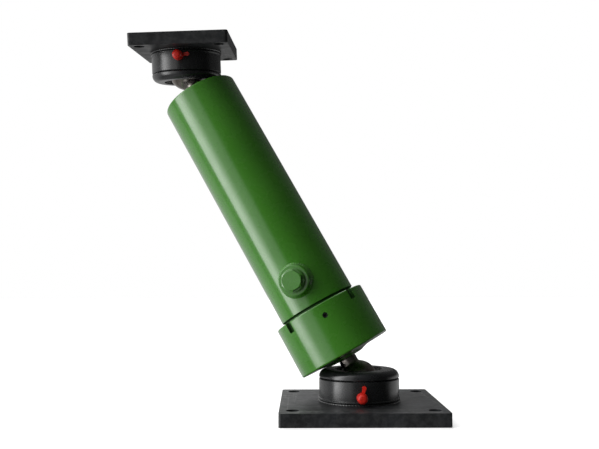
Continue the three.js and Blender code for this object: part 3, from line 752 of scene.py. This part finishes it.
def port_boss():
    """A turned boss with a rippled weld fillet that follows the barrel's curve."""
    fillet = 7
    top_side = softened([(BOSS_BORE, 40), (BOSS_BORE, BOSS_TOP), (BOSS_R, BOSS_TOP, 1.4),
                         (BOSS_R, 51.0)], 0.7, 5)[4:]
    start = len(top_side)
    profile = top_side + [(BOSS_R, 50)] * fillet + [(BOSS_SKIRT, 45)]

    def saddle(a, i, r, z):
        if i < start:
            return r, z
        k = i - start
        if k == fillet:
            return BOSS_SKIRT - 1, 41
        t = k / (fillet - 1)
        height = 3.3 * (1 - t) ** 1.9
        reach = BOSS_R + (BOSS_SKIRT - BOSS_R) * (1 - (1 - t) ** 1.6)
        x = reach * math.cos(a)
        surface = math.sqrt(BARREL["r"] ** 2 - x * x)
        ripple = 0.16 * math.sin(a * 46) * math.sin(math.pi * t)
        lump = 0.22 * noise.noise(Vector((3 * math.cos(a), 3 * math.sin(a), t))) * math.sin(math.pi * t)
        return reach + ripple + lump, surface + height - 0.25 + ripple * 0.5

    return lathe("vis_port_boss", profile, PORT, 276, saddle)


def port_plug():
    body = lathe("vis_port_plug", softened([
        (0, 48.5), (PLUG_SHANK - 1, 48.5), (PLUG_SHANK, 49.5), (PLUG_SHANK, WASHER_TOP + 0.1),
        (PLUG_COLLAR, WASHER_TOP + 0.1), (PLUG_COLLAR, PLUG_COLLAR_TOP, 0.8),
        (0, PLUG_COLLAR_TOP)], 0.3, 4), PORT, 96)
    head = crowned_hexagon("tool", PLUG_HEX, PLUG_COLLAR_TOP - 1, PLUG_TOP, 0.9, PORT)
    combine(body, [head], "UNION")
    return bevelled(body, 0.35, 3, 25)


piece(port_boss(), "port_boss", "barrel", GREEN)
piece(ring("vis_port_washer", WASHER_IN, WASHER_OUT, WASHER_BOTTOM, WASHER_TOP, PORT),
      "port_washer", "barrel", GREEN)
piece(port_plug(), "port_plug", "barrel", GREEN)

# ---------------------------------------------------------------- stages and plunger

piece(stage_tube("vis_stage_1_tube", STAGE_1, STAGE_2["r"]), "stage_1_tube", "stage_1",
      CHROME)
build_foot("stage_1", STAGE_1, BARREL["bore"])
build_gland("stage_1", STAGE_1, STAGE_2["r"])
piece(stage_tube("vis_stage_2_tube", STAGE_2, PLUNGER["r"]), "stage_2_tube", "stage_2",
      CHROME)
build_foot("stage_2", STAGE_2, STAGE_1["bore"])
build_gland("stage_2", STAGE_2, PLUNGER["r"])

plunger_tube = lathe("vis_plunger_tube", softened([
    (PLUNGER["bore"], PLUNGER["bottom"]), (PLUNGER["bore"], PLUNGER_WELD),
    (PLUNGER["r"], PLUNGER_WELD), *foot_profile(PLUNGER)], 0.2), CYLINDER, INNER)
piece(plunger_tube, "plunger_tube", "plunger", CHROME)
hole_r, spigot_r = SHANK_R + RUN, PLUNGER["bore"] - RUN
plunger_end = lathe("vis_plunger_end", softened([
    (0, PLUNGER_PLUG), (spigot_r, PLUNGER_PLUG), (spigot_r, PLUNGER_WELD + 0.1),
    (PLUNGER["r"], PLUNGER_WELD + 0.1, 0.1), (PLUNGER["r"], PLUNGER["top"], 1.2),
    (hole_r, PLUNGER["top"]), (hole_r, PLUNGER["top"] - STUD_HOLE_DEPTH),
    (0, PLUNGER["top"] - STUD_HOLE_DEPTH)], 0.3), CYLINDER, INNER)
piece(plunger_end, "plunger_end", "plunger", CHROME)
build_foot("plunger", PLUNGER, STAGE_2["bore"])

# ---------------------------------------------------------------- stage, light and camera

CAMERA_AT = (-0.0671, -0.9198, 0.1548)
CAMERA_PITCH, CAMERA_YAW, CAMERA_ROLL = 4.24 * DEG, 0.16 * DEG, 0.16 * DEG

turn = (Matrix.Rotation(CAMERA_YAW, 3, "Z") @ Matrix.Rotation(CAMERA_PITCH, 3, "X")
        @ Matrix.Rotation(CAMERA_ROLL, 3, "Y"))
right, forward, up = turn.col[0], turn.col[1], turn.col[2]
camera_data = bpy.data.cameras.new("camera")
camera_data.sensor_width = 36
camera_data.lens = 46.2
camera_data.clip_start = 0.02
camera = bpy.data.objects.new("camera", camera_data)
camera.matrix_world = axes(Vector(CAMERA_AT), right, up, -forward)
bpy.context.scene.collection.objects.link(camera)
bpy.context.scene.camera = camera

floor_bm = bmesh.new()
bmesh.ops.create_grid(floor_bm, x_segments=8, y_segments=8, size=6.0)
floor = finish_mesh("floor", floor_bm, Matrix.Translation((0, 0, -0.0002)))
floor_look = Material("pale_floor", Roughness=0.8, Emission_Color=rgb(1, 1, 1), Emission_Strength=0.58)
floor_tone = floor_look.mix(floor_look.noise(3, 3), rgb(0.80, 0.80, 0.80), rgb(0.84, 0.84, 0.84))
floor_look.link(floor_tone, "Base Color")
floor.data.materials.append(floor_look.material)
floor.visible_glossy = False
floor.visible_diffuse = False
floor.visible_shadow = False

# The studio seen in reflections: radiance by azimuth, 0 in front of the object and positive to
# the right, before it is shaded by height.
STUDIO = [
    (-180, 0.50), (-130, 0.60), (-103, 0.60), (-93, 0.22), (-82, 0.20), (-78, 4.2), (-66, 4.4),
    (-60, 3.6), (-52, 1.9), (-45, 0.85), (-27, 0.72), (-18, 0.06), (70, 0.02), (88, 0.03),
    (130, 0.08), (172, 0.08), (180, 0.30),
]
PEAK = 4.5
REAR = 2.0       # radiance of the light that hangs high, behind the object and to its left
SIDE = 0.6       # radiance of the low light behind the object and to its right


def build_world():
    world = bpy.data.worlds.new("studio")
    bpy.context.scene.world = world
    world.use_nodes = True
    tree = world.node_tree
    tree.nodes.clear()

    def node(kind, inputs=None, **settings):
        return add_node(tree, kind, inputs, settings)

    def calc(operation, a, b=0.0):
        return node("ShaderNodeMath", {0: a, 1: b}, operation=operation).outputs[0]

    def span(value, low, high, to_low, to_high):
        inputs = {"Value": value, 1: low, 2: high, 3: to_low, 4: to_high}
        return node("ShaderNodeMapRange", inputs, interpolation_type="SMOOTHSTEP").outputs[0]

    where = node("ShaderNodeTexCoord").outputs["Generated"]
    split = node("ShaderNodeSeparateXYZ", {0: where}).outputs
    azimuth = calc("ARCTAN2", split["X"], calc("MULTIPLY", split["Y"], -1.0))
    position = calc("ADD", calc("MULTIPLY", azimuth, 0.5 / math.pi), 0.5)
    ramp = node("ShaderNodeValToRGB", {"Fac": position})
    stops = ramp.color_ramp.elements
    for i, (degrees, value) in enumerate(STUDIO):
        at = (degrees + 180) / 360
        stop = stops[i] if i < 2 else stops.new(at)
        stop.position = at
        level = value / PEAK
        stop.color = (level, level, level, 1)
    sides = calc("MULTIPLY", ramp.outputs["Color"], PEAK)
    below_top = span(split["Z"], 0.80, 0.99, 1.0, 0.0)
    above_bottom = span(split["Z"], -0.60, -0.32, 0.0, 1.0)
    sides = calc("MULTIPLY", sides, calc("MULTIPLY", below_top, above_bottom))
    overhead = span(split["Z"], 0.45, 0.95, 0.0, 1.0)
    underneath = span(split["Z"], -0.9, -0.3, 1.0, 0.0)
    leftward = span(split["X"], -0.6, 0.4, 0.42, 0.02)
    ends = calc("MULTIPLY", calc("ADD", overhead, underneath), leftward)
    high = span(split["Z"], 0.40, 0.60, 0.0, span(split["X"], 0.05, 0.25, REAR, 0.0))
    rear = calc("MULTIPLY", high, span(split["Y"], 0.0, 0.4, 0.0, 1.0))
    low = span(split["Z"], 0.0, 0.18, span(split["X"], 0.35, 0.60, 0.0, SIDE), 0.0)
    side = calc("MULTIPLY", low, span(split["Y"], -0.1, 0.25, 0.0, 1.0))
    total = calc("ADD", calc("ADD", sides, ends), calc("ADD", rear, side))
    studio = node("ShaderNodeBackground", {"Color": rgb(1, 1, 1), "Strength": total}).outputs[0]
    backdrop = node("ShaderNodeBackground", {"Color": rgb(1, 1, 1), "Strength": 1.0}).outputs[0]
    seen = node("ShaderNodeLightPath").outputs["Is Camera Ray"]
    mixed = node("ShaderNodeMixShader", {0: seen, 1: studio, 2: backdrop}).outputs[0]
    node("ShaderNodeOutputWorld", {"Surface": mixed})


build_world()
bpy.context.scene.view_settings.view_transform = "Standard"
